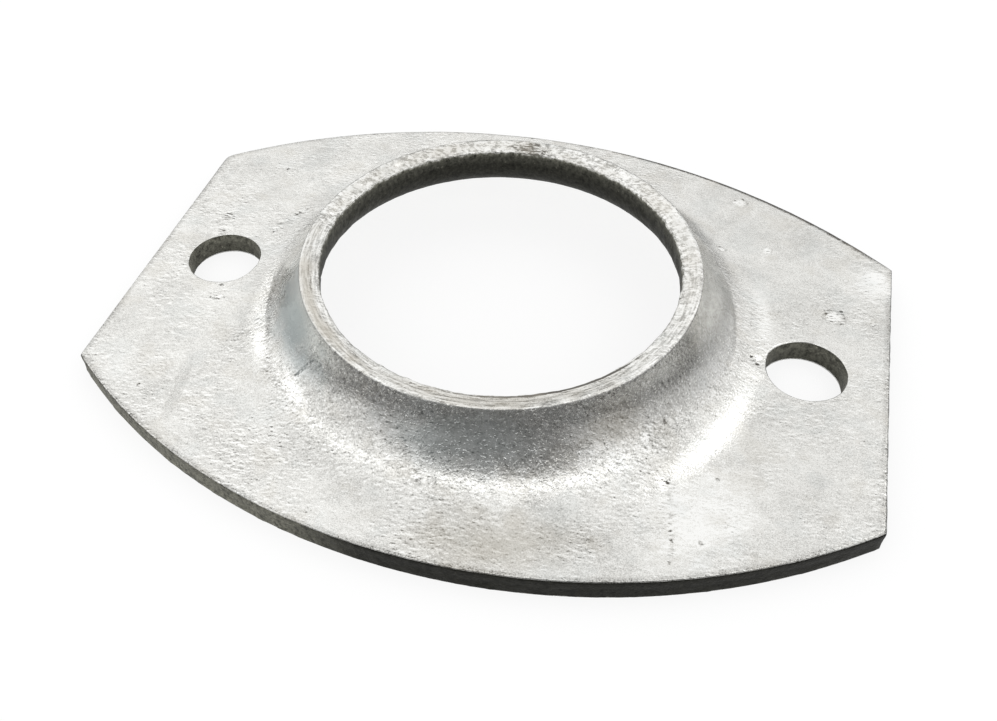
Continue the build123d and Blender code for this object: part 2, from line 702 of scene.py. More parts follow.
@dataclass
class FlangePlate:
    """The galvanised plate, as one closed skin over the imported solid's form.

    Attributes:
        node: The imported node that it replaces.
        low: The node's lowest corner.
        high: The node's highest corner.
        bow_radius: The bowed edges' radius, and so on: lengths in metres.
        edge_roll: The round along the top's outline, and mouth_roll round its holes.
        edge_break: The small break along the underside's outline.
        margin: How far inside the node's box the wear is kept.
        plate_rows: Rows from the split to the outline.
        edge_rows: Rows down the rolled edge and down the sheared wall.
        hole_rows: Rings round a hole: up to its mouth, over it, down the wall and out.
        window_rows: The first and last of the rows left open for a hole's rings.
        window_azimuth: Half the window's width, in radians.
        window_columns: The window's columns, with corner_columns from it to a corner
            and bow_columns along a bowed edge.
    """

    node: str
    low: Sequence[float]
    high: Sequence[float]
    bow_radius: float = 87.0 * MM
    bore_radius: float = 25.0 * MM
    rim_peak: float = 14.0 * MM
    edge_roll: float = 0.45 * MM
    edge_break: float = 0.12 * MM
    hole_radius: float = 5.4 * MM
    hole_offset: float = 43.5 * MM
    mouth_roll: float = 0.35 * MM
    margin: float = 0.02 * MM
    plate_rows: int = 32
    edge_rows: tuple[int, int] = (6, 9)
    hole_rows: tuple[int, ...] = (9, 5, 9, 6)
    window_rows: tuple[int, int] = (4, 26)
    window_azimuth: float = math.radians(12.5)
    window_columns: int = 34
    corner_columns: int = 24
    bow_columns: int = 176

    def __post_init__(self) -> None:
        """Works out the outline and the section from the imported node's box."""
        self.outline = Outline(float(self.high[0]), float(self.high[1]), self.bow_radius)
        self.section = CollarSection(self.bore_radius, self.rim_peak)

    # --- form ---

    def azimuths(self) -> Array:
        """The directions of the grid's rows, starting at +Y and going round by -X.

        Returns:
            Radians, even within each stretch, with rows on the four corners and on the
            edges of the two windows that hold the bolt holes.
        """
        corner = self.outline.corner_azimuth()
        keys = [math.pi / 2]
        counts = []
        for middle in (math.pi, 2 * math.pi):
            keys += [middle - corner, middle - self.window_azimuth]
            keys += [middle + self.window_azimuth, middle + corner]
            keys += [middle + math.pi / 2]
            counts += [self.bow_columns // 2, self.corner_columns, self.window_columns]
            counts += [self.corner_columns, self.bow_columns // 2]
        parts = [
            np.linspace(a, b, n, endpoint=False) for a, b, n in zip(keys, keys[1:], counts)
        ]
        return np.concatenate(parts)

    def window_starts(self) -> list[int]:
        """The first row of each window, at the -X hole and then at the +X hole."""
        lead = self.bow_columns // 2 + self.corner_columns
        between = self.window_columns + 2 * self.corner_columns + self.bow_columns
        return [lead, lead + between]

    def plate_grid(self, azimuth: Array, upper: bool) -> Array:
        """The flat part of the plate, from the split out to the rolled edge.

        Args:
            azimuth: The grid's directions.
            upper: Whether it is the top or the underside.

        Returns:
            Positions by direction and by row, going outwards. Each row stands a fixed
            fraction of the way from the split's circle to the outline.
        """
        inset = self.edge_roll if upper else self.edge_break
        reach = self.outline.reach(azimuth, self.edge_roll)[:, None]
        t = np.arange(self.plate_rows) / (self.plate_rows - 1)
        radius = self.section.split + t * (reach - self.section.split)
        radius[:, -1] = self.outline.reach(azimuth, inset)
        height = self.section.top_height(radius) if upper else self.section.under_height(radius)
        return spun(azimuth, radius, height)

    def edge_grid(self, azimuth: Array) -> Array:
        """The rolled and sheared edge, from the top's last row to the underside's.

        Args:
            azimuth: The grid's directions.

        Returns:
            Positions by direction and by row, going down: a quarter round, a straight
            wall, and a small break at the foot.
        """
        rolled, sheared = self.edge_rows
        roll = np.radians(np.linspace(0.0, 90.0, rolled + 1)[1:])
        inset = self.edge_roll * (1.0 - np.sin(roll))
        height = self.section.thickness - self.edge_roll * (1.0 - np.cos(roll))
        wall = np.linspace(height[-1], self.edge_break, sheared + 1)[1:]
        inset = np.concatenate([inset, np.zeros(len(wall))])
        height = np.concatenate([height, wall])
        radius = self.outline.reach(azimuth[:, None], inset[None, :])
        return spun(azimuth, radius, np.broadcast_to(height, radius.shape))

    def hole_rings(self, centre: float, top: Array) -> Array:
        """The skin round one bolt hole, from the top's window down to the underside's.

        Args:
            centre: The hole's place along the plate.
            top: The window's edge in the top, as positions in order round it.

        Returns:
            Positions by place round the window and by ring. The rings close in on the
            hole along straight rays from its centre, go over its rolled mouth, down its
            wall and out again.
        """
        rays = top[:, :2] - np.array([centre, 0.0])
        far = np.linalg.norm(rays, axis=1, keepdims=True)
        rays = rays / far
        above, over, down, below = self.hole_rows
        t = (np.arange(1, above + 1) / above) ** 0.8
        closing = far * (1 - t) + (self.hole_radius + self.mouth_roll) * t
        roll = np.radians(np.linspace(0.0, 90.0, over + 1)[1:])
        rolled = self.hole_radius + self.mouth_roll * (1 - np.sin(roll))
        radius = np.hstack([closing, np.tile(rolled, (len(far), 1))])
        upper = self.ray_points(centre, rays, radius, True)
        upper[:, above:, 2] -= self.mouth_roll * (1 - np.cos(roll))
        foot = self.ray_points(centre, rays, radius[:, -1:], False)
        s = np.linspace(0.0, 1.0, down + 1)[1:, None]
        wall = upper[:, -1:] * (1 - s) + foot * s
        t = 1 - np.arange(1, below + 1) / (below + 1)
        wide = self.hole_radius * t + far * (1 - t)
        lower = self.ray_points(centre, rays, wide, False)
        return np.concatenate([upper, wall, lower], axis=1)

    def ray_points(self, centre: float, rays: Array, radius: Array, upper: bool) -> Array:
        """Points on the plate's top or underside along rays from a bolt hole.

        Args:
            centre: The hole's place along the plate.
            rays: Unit directions in the plane, in rows of two.
            radius: Distances by ray and by ring.
            upper: Whether they lie on the top or on the underside.

        Returns:
            Positions by ray and by ring.
        """
        x = centre + rays[:, :1] * radius
        y = rays[:, 1:] * radius
        reach = np.hypot(x, y)
        z = self.section.top_height(reach) if upper else self.section.under_height(reach)
        return np.stack([x, y, z], axis=-1)

    def form(self) -> tuple[Array, Array]:
        """The plate's whole form, before any wear.

        Returns:
            Vertex positions and four-sided faces of one closed skin.
        """
        azimuth = self.azimuths()
        skin = Skin()
        collar = self.section.upper_points()
        skirt = self.section.lower_points()
        top = skin.add_points(self.plate_grid(azimuth, True))
        edge = skin.add_points(self.edge_grid(azimuth))
        under = skin.add_points(self.plate_grid(azimuth, False))
        rise, fall = (
            skin.add_points(spun(azimuth, *np.repeat(line.T[:, None], len(azimuth), 1)))
            for line in (collar, skirt[1:])
        )
        first, last = self.window_rows
        keep = np.ones((len(azimuth), self.plate_rows - 1), bool)
        for start in self.window_starts():
            keep[start : start + self.window_columns, first:last] = False
        skin.add_strip(top, keep)
        skin.add_strip(under[:, ::-1], keep[:, ::-1])
        skin.add_strip(np.concatenate([top[:, -1:], edge, under[:, -1:]], axis=1))
        skin.add_strip(np.concatenate([under[:, :1], fall, rise, top[:, :1]], axis=1))
        positions = np.concatenate(skin.points)
        for side, start in zip((-1.0, 1.0), self.window_starts()):
            rim = self.window_rim(start)
            inner = skin.add_points(self.hole_rings(side * self.hole_offset, positions[top[rim]]))
            skin.add_strip(np.concatenate([top[rim][:, None], inner, under[rim][:, None]], axis=1))
        return skin.gathered()

    def window_rim(self, start: int) -> tuple[Array, Array]:
        """The grid places round a window, in order.

        Args:
            start: The window's first row.

        Returns:
            Row and column numbers, going round once.
        """
        first, last = self.window_rows
        stop = start + self.window_columns
        rows = np.arange(start, stop)
        columns = np.arange(first, last)
        across = np.concatenate(
            [rows, np.full(len(columns), stop), rows[::-1] + 1, np.full(len(columns), start)]
        )
        along = np.concatenate(
            [np.full(len(rows), first), columns, np.full(len(rows), last), columns[::-1] + 1]
        )
        return across, along

    # --- wear ---

    def regions(self, points: Array, normals: Array) -> dict[str, Array]:
        """Which part of the plate each point is on, from its place and direction.

        Args:
            points: Positions on the form.
            normals: Outward directions there.

        Returns:
            Covers from 0 to 1. "inside" is the bore and throat, "edge" the sheared
            outline, "holes" the bolt holes' walls, "rim" the rim's narrow face, "drawn"
            the neck and its sweep, "upper" all that faces up, "under" the underside,
            "brink" the painted shade along the outline's rolled top edge, strongest
            between +X and +Y, and "crinkled" where the rim's zinc stands in lumps.
        """
        radius, turn = polar(points)
        outwards = (normals[:, 0] * points[:, 0] + normals[:, 1] * points[:, 1]) / radius
        upright = np.abs(normals[:, 2])
        gap = self.outline.reach(np.radians(turn)) - radius
        edge = ease(0.7 * MM, 0.2 * MM, gap) * ease(0.75, 0.4, upright)
        to_hole = np.hypot(np.abs(points[:, 0]) - self.hole_offset, points[:, 1])
        holes = ease(6.3 * MM, 5.6 * MM, to_hole) * ease(0.8, 0.45, upright)
        inner = self.section.rim_corners()[0]
        rim = ease(inner[1] - 0.5 * MM, inner[1], points[:, 2]) * ease(0.6, 0.85, normals[:, 2])
        drawn = ease(37.0 * MM, 33.0 * MM, radius) * ease(0.0, 0.3, outwards) * (1.0 - rim)
        upper = ease(0.1, 0.4, normals[:, 2])
        inside = ease(0.12, 0.5, -outwards) * ease(38.0 * MM, 33.0 * MM, radius)
        # Painted shade along the rolled top edge: a dark line, strongest between +X and +Y.
        brink_shade = 0.25 + 0.75 * ease(82.0, 70.0, turn) * ease(22.0, 34.0, turn)
        return {
            "inside": inside * ease(5.0 * MM, 6.8 * MM, points[:, 2]),
            "edge": edge,
            "holes": holes,
            "rim": rim,
            "drawn": drawn,
            "upper": upper,
            "under": ease(-0.5, -0.9, normals[:, 2]),
            "brink_shade": ease(0.90 * MM, 0.35 * MM, gap) * upper * brink_shade,
            "crinkled": self.crinkled(turn) * rim,
        }

    def painted_wall_shade(self, points: Array, region: dict[str, Array]) -> Array:
        """How lit each pierced or sheared wall is painted: painted shade over the walls' own grey
        scale.

        Args:
            points: Positions on the form.
            region: The covers that regions() gives.

        Returns:
            From 0, painted near-black shadow, to 1, lit grey scale, all of it painted shade:
            the bore is palest by its rim, darker towards its foot and a little paler from +Y
            round to -X, the bolt holes are darker towards their foot and the +X hole darker
            than the -X hole, and the sheared edge is black but for its stretch from -Y round
            to -X.
        """
        azimuth = polar(points)[1]
        drop = self.section.rim_corners()[0][1] - points[:, 2]
        # Painted shade: the walls darken towards their foot, and the sheared edge is painted black
        # but for one stretch.
        bore = 0.23 + 0.45 * ease(0.9 * MM, 0.1 * MM, drop) + 0.06 * ease(120.0, 175.0, azimuth)
        bore -= 0.13 * ease(1.0 * MM, 2.4 * MM, drop)
        holes = 0.36 + 0.20 * ease(0.6 * MM, 2.9 * MM, points[:, 2])
        holes *= 1.0 - 0.2 * (points[:, 0] > 0.0)
        edge = 0.055 + 0.54 * ease(-96.0, -116.0, azimuth)
        return region["inside"] * bore + region["holes"] * holes + region["edge"] * edge

    def crinkled(self, azimuth: Array) -> Array:
        """How far the rim's zinc stands in lumps, by direction.

        Args:
            azimuth: In degrees from +X towards +Y.

        Returns:
            Covers from 0 to 1: full from +Y round to -X, less from +X round to +Y.
        """
        return np.maximum(
            ease(80.0, 112.0, azimuth) * ease(188.0, 172.0, azimuth),
            0.75 * ease(-30.0, 20.0, azimuth) * ease(105.0, 85.0, azimuth),
        )

    def rim_relief(self, points: Array, region: dict[str, Array]) -> Array:
        """What the punch and the zinc left on the rim's narrow face.

        Two shallow grooves run round it, and zinc stands in lumps where it is crinkled.

        Args:
            points: Positions on the form.
            region: The covers that regions() gives.

        Returns:
            Height in metres along the normal.
        """
        across = (polar(points)[0] - self.bore_radius) / self.section.rim_width
        wander = 0.10 * noise(points, 6.0 * MM, 71) + 0.04 * noise(points, 1.5 * MM, 72)
        grooves = 0.10 * bell(across - 0.40 - wander, 0.10)
        grooves += 0.06 * bell(across - 0.70 - wander, 0.07)
        fade = 0.55 + 0.45 * noise(points, 9.0 * MM, 73)
        lumps = layered_noise(points, 0.95 * MM, 74)
        height = region["crinkled"] * (0.17 * lumps - 0.12) - grooves * fade
        return height * MM * region["rim"]

    def wall_relief(self, points: Array, region: dict[str, Array]) -> Array:
        """The tearing left on the pierced and sheared walls.

        Args:
            points: Positions on the form.
            region: The covers that regions() gives.

        Returns:
            Height in metres along the normal. Lumps are drawn out down the wall, and the
            lower part of a sheared wall is torn deeper than its burnished top. The
            bore's lumps fade out down the throat.
        """
        torn = ease(2.6 * MM, 1.6 * MM, points[:, 2])
        long = noise(points, (0.9 * MM, 0.9 * MM, 3.0 * MM), 81)
        rough = layered_noise(points, 1.3 * MM, 82)
        edge = region["edge"] * (0.05 * long + 0.07 * torn * rough - 0.06 * torn - 0.04)
        holes = region["holes"] * (0.06 * long + 0.05 * rough - 0.03)
        inside = region["inside"] * (0.07 * rough + 0.05 * long)
        inside *= ease(5.0 * MM, 10.0 * MM, points[:, 2])
        return (edge + holes + inside) * MM

    def top_relief(self, points: Array, region: dict[str, Array]) -> Array:
        """The waves and crinkles in the zinc of the top, and a line at the neck's foot.

        Args:
            points: Positions on the form.
            region: The covers that regions() gives.

        Returns:
            Height in metres along the normal.
        """
        radius, azimuth = polar(points)
        elsewhere = sum(region[name] for name in ("edge", "holes", "inside", "under"))
        plain = 1.0 - np.clip(elsewhere, 0.0, 1.0)
        waves = 0.05 * noise(points, 11.0 * MM, 91) + 0.018 * noise(points, 3.6 * MM, 92)
        crinkle = 0.010 * layered_noise(points, 1.5 * MM, 93)
        calm = 1.0 - 0.5 * region["drawn"]
        wander = 0.35 * MM * noise(points, 7.0 * MM, 96)
        line = bell(radius - 33.4 * MM - wander, 0.35 * MM)
        shown = np.maximum(
            ease(-15.0, 5.0, azimuth) * ease(50.0, 32.0, azimuth),
            0.6 * ease(-180.0, -165.0, azimuth) * ease(-120.0, -140.0, azimuth),
        )
        return ((waves + crinkle * calm) * plain - 0.06 * line * shown) * MM

    def worn(self, points: Array, faces: Array) -> tuple[Array, dict[str, Array]]:
        """The form with its wear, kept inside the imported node's box.

        Args:
            points: Positions on the form.
            faces: Its faces.

        Returns:
            New positions, and the covers that the finish reads.
        """
        normals = vertex_normals(points, faces)
        region = self.regions(points, normals)
        height = self.rim_relief(points, region)
        height += self.wall_relief(points, region) + self.top_relief(points, region)
        for index, mark in enumerate([*MARKS, *CREASES]):
            height += mark.height(points, 200 + 2 * index) * region["upper"]
        moved = points + normals * height[:, None]
        low = np.asarray(self.low) + self.margin
        high = np.asarray(self.high) - self.margin
        low[2] = 0.0
        flat = points[:, 2] < 1e-6
        moved[:, 2] = np.where(flat, 0.0, np.maximum(moved[:, 2], 0.0))
        cover = {name: region[name] for name in ("rim", "drawn", "upper", "brink_shade", "crinkled")}
        cover["wall"] = np.clip(region["inside"] + region["edge"] + region["holes"], 0.0, 1.0)
        # The pale cover is painted shade: how lit each pierced or sheared wall is painted, darker
        # towards its foot.
        cover["pale"] = self.painted_wall_shade(points, region)
        for hue in Hue:
            patches = [patch.cover(points) for patch in PATCHES if patch.hue is hue]
            cover[hue.value] = sum(patches) * region["upper"]
        return np.clip(moved, low, high), cover

    # --- build ---

    def build(self, finish: "Zinc") -> bpy.types.Object:
        """Makes the skin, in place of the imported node, and dresses it.

        Args:
            finish: What it is coated with.

        Returns:
            The new object.
        """
        form, faces = self.form()
        points, cover = self.worn(form, faces)
        mesh = bpy.data.meshes.new("flange_skin")
        mesh.from_pydata(points, [], faces.tolist())
        mesh.polygons.foreach_set("use_smooth", np.ones(len(mesh.polygons), bool))
        for name, values in cover.items():
            layer = mesh.attributes.new(name, "FLOAT", "POINT")
            layer.data.foreach_set("value", values.astype(np.float32))
        mesh.materials.append(finish.material())
        mesh.update()
        piece = bpy.data.objects.new("flange_skin", mesh)
        bpy.context.scene.collection.objects.link(piece)
        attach(piece, "root")
        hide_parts(self.node)
        return piece


def spun(azimuth: Array, radius: Array, height: Array) -> Array:
    """Carries a section round the bore's axis.

    Args:
        azimuth: Directions in radians.
        radius: Distances from the axis, by direction and by place in the section.
        height: Heights, the same way.

    Returns:
        Positions: radius times the direction's cosine and sine, and the height.
    """
    x = radius * np.cos(azimuth)[:, None]
    y = radius * np.sin(azimuth)[:, None]
    return np.stack([x, y, np.broadcast_to(height, x.shape)], axis=-1)


DROP, SPECK, BRUISE = MarkKind
WARM, COOL, SHEEN_SHADE_STAIN, ROUGH = Hue
MARKS: list[Mark] = [
    Mark(DROP, 46.6, 11.6, 1.9, 0.08),
    Mark(SPECK, 47.6, 13.0, 0.40, 0.08),
    Mark(SPECK, 47.1, 12.3, 0.35, 0.06),
    Mark(SPECK, 45.5, 12.1, 0.35, 0.05),
    Mark(DROP, 30.9, 34.3, 1.5, 0.06),
    Mark(SPECK, 31.3, 35.2, 0.40, 0.06),
    Mark(SPECK, 30.1, 34.9, 0.35, 0.05),
    Mark(DROP, 29.3, 21.4, 0.8, 0.08),
    Mark(SPECK, 29.0, 21.9, 0.35, 0.06),
    Mark(DROP, 36.1, 23.7, 1.0, 0.06),
    Mark(DROP, 52.0, 21.8, 2.0, 0.08),
    Mark(DROP, 47.9, 20.0, 0.4, 0.05),
    Mark(DROP, 52.0, 11.7, 0.5, 0.05),
    Mark(BRUISE, 36.6, -0.6, 1.2, 0.12),
    Mark(SPECK, 36.9, -1.1, 0.45, 0.08),
    Mark(SPECK, 36.0, -0.2, 0.30, 0.06),
    Mark(SPECK, -42.9, 23.5, 0.45, 0.08),
    Mark(SPECK, -41.3, -5.7, 0.50, 0.08),
    Mark(BRUISE, -40.9, -8.4, 1.5, 0.05),
    Mark(SPECK, -39.8, -8.2, 0.30, 0.06),
    Mark(SPECK, -41.7, -8.7, 0.30, 0.06),
    Mark(BRUISE, -46.6, 5.5, 1.3, 0.08),
    Mark(SPECK, -46.5, 5.9, 0.35, 0.06),
    Mark(BRUISE, -47.3, 9.3, 1.4, 0.05),
    Mark(SPECK, -43.7, -27.4, 0.45, 0.08),
    Mark(DROP, 24.4, -20.5, 1.0, 0.08),
    Mark(SPECK, 26.4, -17.4, 0.35, 0.08),
    Mark(BRUISE, 27.9, -24.1, 1.1, 0.08),
    Mark(SPECK, 28.1, -24.4, 0.35, 0.06),
    Mark(SPECK, 29.6, -31.1, 0.40, 0.06),
    Mark(SPECK, 29.9, -32.4, 0.35, 0.06),
    Mark(SPECK, 30.2, -35.4, 0.35, 0.06),
    Mark(SPECK, 33.3, -31.8, 0.50, 0.08),
    Mark(SPECK, 34.1, -21.9, 0.50, 0.06),
    Mark(DROP, 36.5, -28.9, 0.7, 0.06),
    Mark(DROP, -30.2, 31.1, 0.5, 0.05),
    Mark(DROP, -29.2, 29.3, 0.4, 0.05),
    Mark(DROP, -45.2, 28.1, 0.4, 0.05),
    Mark(DROP, -43.3, 10.2, 0.4, 0.05),
]
CREASES: list[Crease] = [
    Crease((-22.4, -22.8), (-18.0, -22.0), 0.3, 0.28, 0.05, 1.1),
    Crease((27.7, -23.8), (30.3, -35.4), 0.5, 0.45, 0.05, 0.40),
    Crease((-38.6, 6.8), (-34.6, 15.1), 0.6, 0.25, 0.05, 0.8),
    Crease((-33.5, 7.0), (-29.5, 17.5), 0.8, 0.35, 0.03, 0.6),
    Crease((-36.9, -32.5), (-38.9, -17.5), 0.4, 0.95, 0.02, 0.20, smooth=True),
]
# Lines of painted highlight along the neck's foot.
SHEEN_LINES: list[SheenLine] = [
    SheenLine(33.1, -38.0, -20.0, 0.25, 0.30),
    SheenLine(32.3, -30.0, -14.0, 0.25, 0.25),
    SheenLine(31.0, -55.0, -49.0, 0.30, 0.80),
    SheenLine(30.4, -130.0, -95.0, 0.20, 0.25),
    SheenLine(34.6, -128.0, -90.0, 0.20, 0.25),
]
# The patches that lighten or darken the tone paint highlights along the neck's foot, on the
# far-right rim and at the +X,+Y corner, and painted shade as thin dark lines at the rim's inner
# edge, across the rim and at the foot; a few, such as the dark crinkle at the back of the rim, are
# the zinc's own stain and tone.
PATCHES: list[Patch] = [
    Patch(COOL, 29.2, -148.0, 4.0, 30.0, 1.0),
    Patch(COOL, 29.5, -85.0, 3.5, 25.0, 0.5),
    Patch(WARM, 29.5, -46.0, 3.0, 12.0, 0.4),
    Patch(WARM, 26.8, -142.0, 1.4, 44.0, 0.60),
    Patch(WARM, 26.3, -80.0, 1.8, 60.0, 0.35),
    Patch(WARM, 26.3, 130.0, 1.8, 70.0, 0.25),
    Patch(WARM, 26.3, 20.0, 1.8, 50.0, 0.20),
    Patch(WARM, 40.0, -77.0, 6.5, 20.0, 0.42),
    Patch(SHEEN_SHADE_STAIN, 40.0, -75.0, 6.5, 20.0, -0.28),
    Patch(SHEEN_SHADE_STAIN, 43.0, -40.0, 8.0, 16.0, 0.60),
    Patch(SHEEN_SHADE_STAIN, 34.4, -150.0, 1.2, 7.0, 0.7),
    Patch(SHEEN_SHADE_STAIN, 32.6, -131.0, 1.3, 9.0, 0.55),
    Patch(SHEEN_SHADE_STAIN, 33.2, -70.0, 0.8, 22.0, 0.25, 0.3),
    Patch(SHEEN_SHADE_STAIN, 30.4, -164.0, 2.4, 13.0, 0.45),
    Patch(SHEEN_SHADE_STAIN, 30.5, -145.0, 2.6, 14.0, 0.20),
    Patch(SHEEN_SHADE_STAIN, 27.0, 28.0, 1.3, 30.0, 0.35),
    Patch(SHEEN_SHADE_STAIN, 31.5, -8.0, 3.0, 28.0, 0.40),
    Patch(SHEEN_SHADE_STAIN, 32.8, -166.0, 0.8, 16.0, -0.35, 0.3),
    Patch(SHEEN_SHADE_STAIN, 25.8, 94.0, 1.6, 9.0, -0.8, 0.2),
    Patch(SHEEN_SHADE_STAIN, 26.3, -80.0, 1.8, 60.0, -0.22, 0.4),
    Patch(SHEEN_SHADE_STAIN, 38.0, 14.0, 1.6, 15.0, 0.35),
    Patch(SHEEN_SHADE_STAIN, 26.2, -140.0, 0.3, 30.0, -0.35, 0.3),
    Patch(SHEEN_SHADE_STAIN, 25.35, -58.0, 0.22, 28.0, -2.4, 0.6),
    Patch(SHEEN_SHADE_STAIN, 56.5, 21.5, 3.6, 4.5, 0.6),
    Patch(ROUGH, 43.0, -128.0, 8.0, 26.0, 0.8),
    Patch(ROUGH, 34.0, -140.0, 2.0, 18.0, 1.0),
    Patch(ROUGH, 40.0, -75.0, 7.0, 30.0, 0.5),
    Patch(ROUGH, 47.5, 170.0, 4.0, 6.0, 0.9),
    Patch(ROUGH, 37.2, 14.0, 2.2, 18.0, 1.0),
    Patch(ROUGH, 56.0, 21.0, 3.5, 5.0, 0.8),
    Patch(ROUGH, 42.0, 36.0, 10.0, 30.0, -0.8, 0.6),
    Patch(ROUGH, 45.0, -170.0, 9.0, 22.0, 0.35),
    Patch(ROUGH, 29.5, -165.0, 4.0, 38.0, -0.9, 0.5),
    Patch(ROUGH, 30.5, 12.0, 4.0, 36.0, -0.8, 0.5),
    Patch(ROUGH, 31.0, -85.0, 3.5, 32.0, 0.4, 0.3),
]


# --- Shader maths ---


class Wire:
    """A number on its way through a material, which Python expressions can use."""

    def __init__(self, tree: bpy.types.NodeTree, socket: bpy.types.NodeSocket) -> None:
        """Wraps an output socket.

        Args:
            tree: The node tree that it is in.
            socket: The socket.
        """
        self.tree = tree
        self.socket = socket

    def reckon(self, operation: str, *values: Any) -> "Wire":
        """Adds a Math node.

        Args:
            operation: The node's operation.
            values: Its inputs in order: wires or numbers.

        Returns:
            Its result.
        """
        node = self.tree.nodes.new("ShaderNodeMath")
        node.operation = operation
        for socket, value in zip(node.inputs, values):
            if isinstance(value, Wire):
                self.tree.links.new(value.socket, socket)
            else:
                socket.default_value = value
        return Wire(self.tree, node.outputs[0])

    def __add__(self, other: Any) -> "Wire":
        """This plus other."""
        return self.reckon("ADD", self, other)

    def __sub__(self, other: Any) -> "Wire":
        """This less other."""
        return self.reckon("SUBTRACT", self, other)

    def __rsub__(self, other: Any) -> "Wire":
        """Other less this."""
        return self.reckon("SUBTRACT", other, self)

    def __mul__(self, other: Any) -> "Wire":
        """This times other."""
        return self.reckon("MULTIPLY", self, other)

    def __pow__(self, other: Any) -> "Wire":
        """This to the power of other."""
        return self.reckon("POWER", self, other)

    def apart(self, value: float) -> "Wire":
        """How far this is from a number."""
        return self.reckon("ABSOLUTE", self - value)

    def above(self, floor: Any) -> "Wire":
        """The larger of this and a floor."""
        return self.reckon("MAXIMUM", self, floor)

    __radd__ = __add__
    __rmul__ = __mul__


def total(wires: Sequence[Wire]) -> Wire:
    """The sum of several numbers."""
    return sum(wires[1:], wires[0])


class Pattern(Enum):
    """The zinc's patterns of noise.

    Each has the pitch of its lumps in millimetres, how many finer layers it has, and
    which pattern it is.
    """

    CLOUD = (9.0, 3.0, 1.0)
    BLOOM = (1.3, 4.0, 2.0)
    GRAIN = (0.30, 2.0, 3.0)
    FINE = (0.16, 1.0, 4.0)
    WRINKLE = (0.38, 2.0, 5.0)
    VIGOUR = (9.0, 3.0, 6.0)
    BEADS = (0.32, 1.0, 7.0)
    RIPPLE = (0.90, 2.0, 8.0)
    LUMPS = (0.70, 3.0, 9.0)
    DRIFT = (5.0, 2.0, 11.0)
    BREAKS = (1.8, 3.0, 12.0)
    STREAKS = (0.45, 3.0, 13.0)
    CHIPS = (0.55, 2.0, 14.0)
    STAINS = (5.0, 3.0, 15.0)
    GROOVES = (0.24, 3.0, 16.0)
    FLAKES = (0.75, 4.0, 17.0)


class Recipe:
    """A node tree that is being written."""

    def __init__(self, tree: bpy.types.NodeTree) -> None:
        """Starts with an empty tree.

        Args:
            tree: A material's or a world's node tree.
        """
        self.tree = tree
        tree.nodes.clear()

    def node(
        self, kind: str, settings: dict[str, Any] | None = None, out: int | str = 0, **values: Any
    ) -> Wire:
        """Adds a node.

        Args:
            kind: Its type, less "ShaderNode".
            settings: Its properties.
            out: Which output to return.
            values: What its inputs hold, by name with "_" for a space, or by place as
                "i0", "i1" and so on: wires, numbers or colours.

        Returns:
            The chosen output.
        """
        node = self.tree.nodes.new("ShaderNode" + kind)
        for key, value in (settings or {}).items():
            setattr(node, key, value)
        for key, value in values.items():
            by_place = key[0] == "i" and key[1:].isdigit()
            socket = node.inputs[int(key[1:]) if by_place else key.replace("_", " ")]
            if isinstance(value, Wire):
                self.tree.links.new(value.socket, socket)
            elif isinstance(value, tuple) and len(value) == 3 and socket.type == "RGBA":
                socket.default_value = (*value, 1.0)
            else:
                socket.default_value = value
        outputs = node.outputs
        return Wire(self.tree, outputs[out]) if len(outputs) else Wire(self.tree, None)

    def cover(self, name: str) -> Wire:
        """A number that the mesh carries at each of its points."""
        return self.node("Attribute", {"attribute_name": name}, out="Fac")

    def vector(self, operation: str, *values: Any, out: int | str = 0) -> Wire:
        """Adds a Vector Math node.

        Args:
            operation: The node's operation.
            values: Its inputs in order: wires or vectors.
            out: Which output to return.

        Returns:
            The chosen output.
        """
        inputs = {f"i{index}": value for index, value in enumerate(values)}
        return self.node("VectorMath", {"operation": operation}, out, **inputs)

    def noise(self, place: Wire, pattern: Pattern) -> Wire:
        """A pattern of noise from 0 to 1, at a place in metres."""
        pitch, detail, seed = pattern.value
        moved = self.vector("ADD", place, (seed * 0.37, seed * 0.11, seed * 0.23))
        scale = 1.0 / (pitch * MM)
        return self.node("TexNoise", Vector=moved, Scale=scale, Detail=detail, out="Fac")

    def facet(self, place: Wire, pattern: Pattern) -> Wire:
        """How much a wrinkled surface leans along its Y, about -0.5 to 0.5.

        Args:
            place: Where, in metres.
            pattern: Its height.

        Returns:
            The difference of the same noise a quarter of a wrinkle ahead and behind,
            times its own size, so that the steepest wrinkles stand out.
        """
        aside = (0.0, 0.25 * pattern.value[0] * MM, 0.0)
        ahead = self.noise(self.vector("ADD", place, aside), pattern)
        lean = ahead - self.noise(self.vector("SUBTRACT", place, aside), pattern)
        return lean * lean.apart(0.0) * 6.0

    def ramp(self, value: Wire, low: float, high: float) -> Wire:
        """Smooth step: 0 at low and 1 at high, which may be the smaller."""
        settings = {"interpolation_type": "SMOOTHSTEP", "clamp": True}
        return self.node("MapRange", settings, Value=value, From_Min=low, From_Max=high)

    def dot(self, vector: Wire, direction: Sequence[float]) -> Wire:
        """A vector's length along a direction in the plate's plane."""
        along = (float(direction[0]), float(direction[1]), 0.0)
        return self.vector("DOT_PRODUCT", vector, along, out="Value")

    def blend(self, amount: Wire, base: Any, over: Any) -> Wire:
        """Mixes two colours.

        Args:
            amount: How much of the second.
            base: The first, a wire or a colour.
            over: The second.

        Returns:
            The mixed colour.
        """
        return self.node("Mix", {"data_type": "RGBA"}, out=2, i0=amount, i6=base, i7=over)


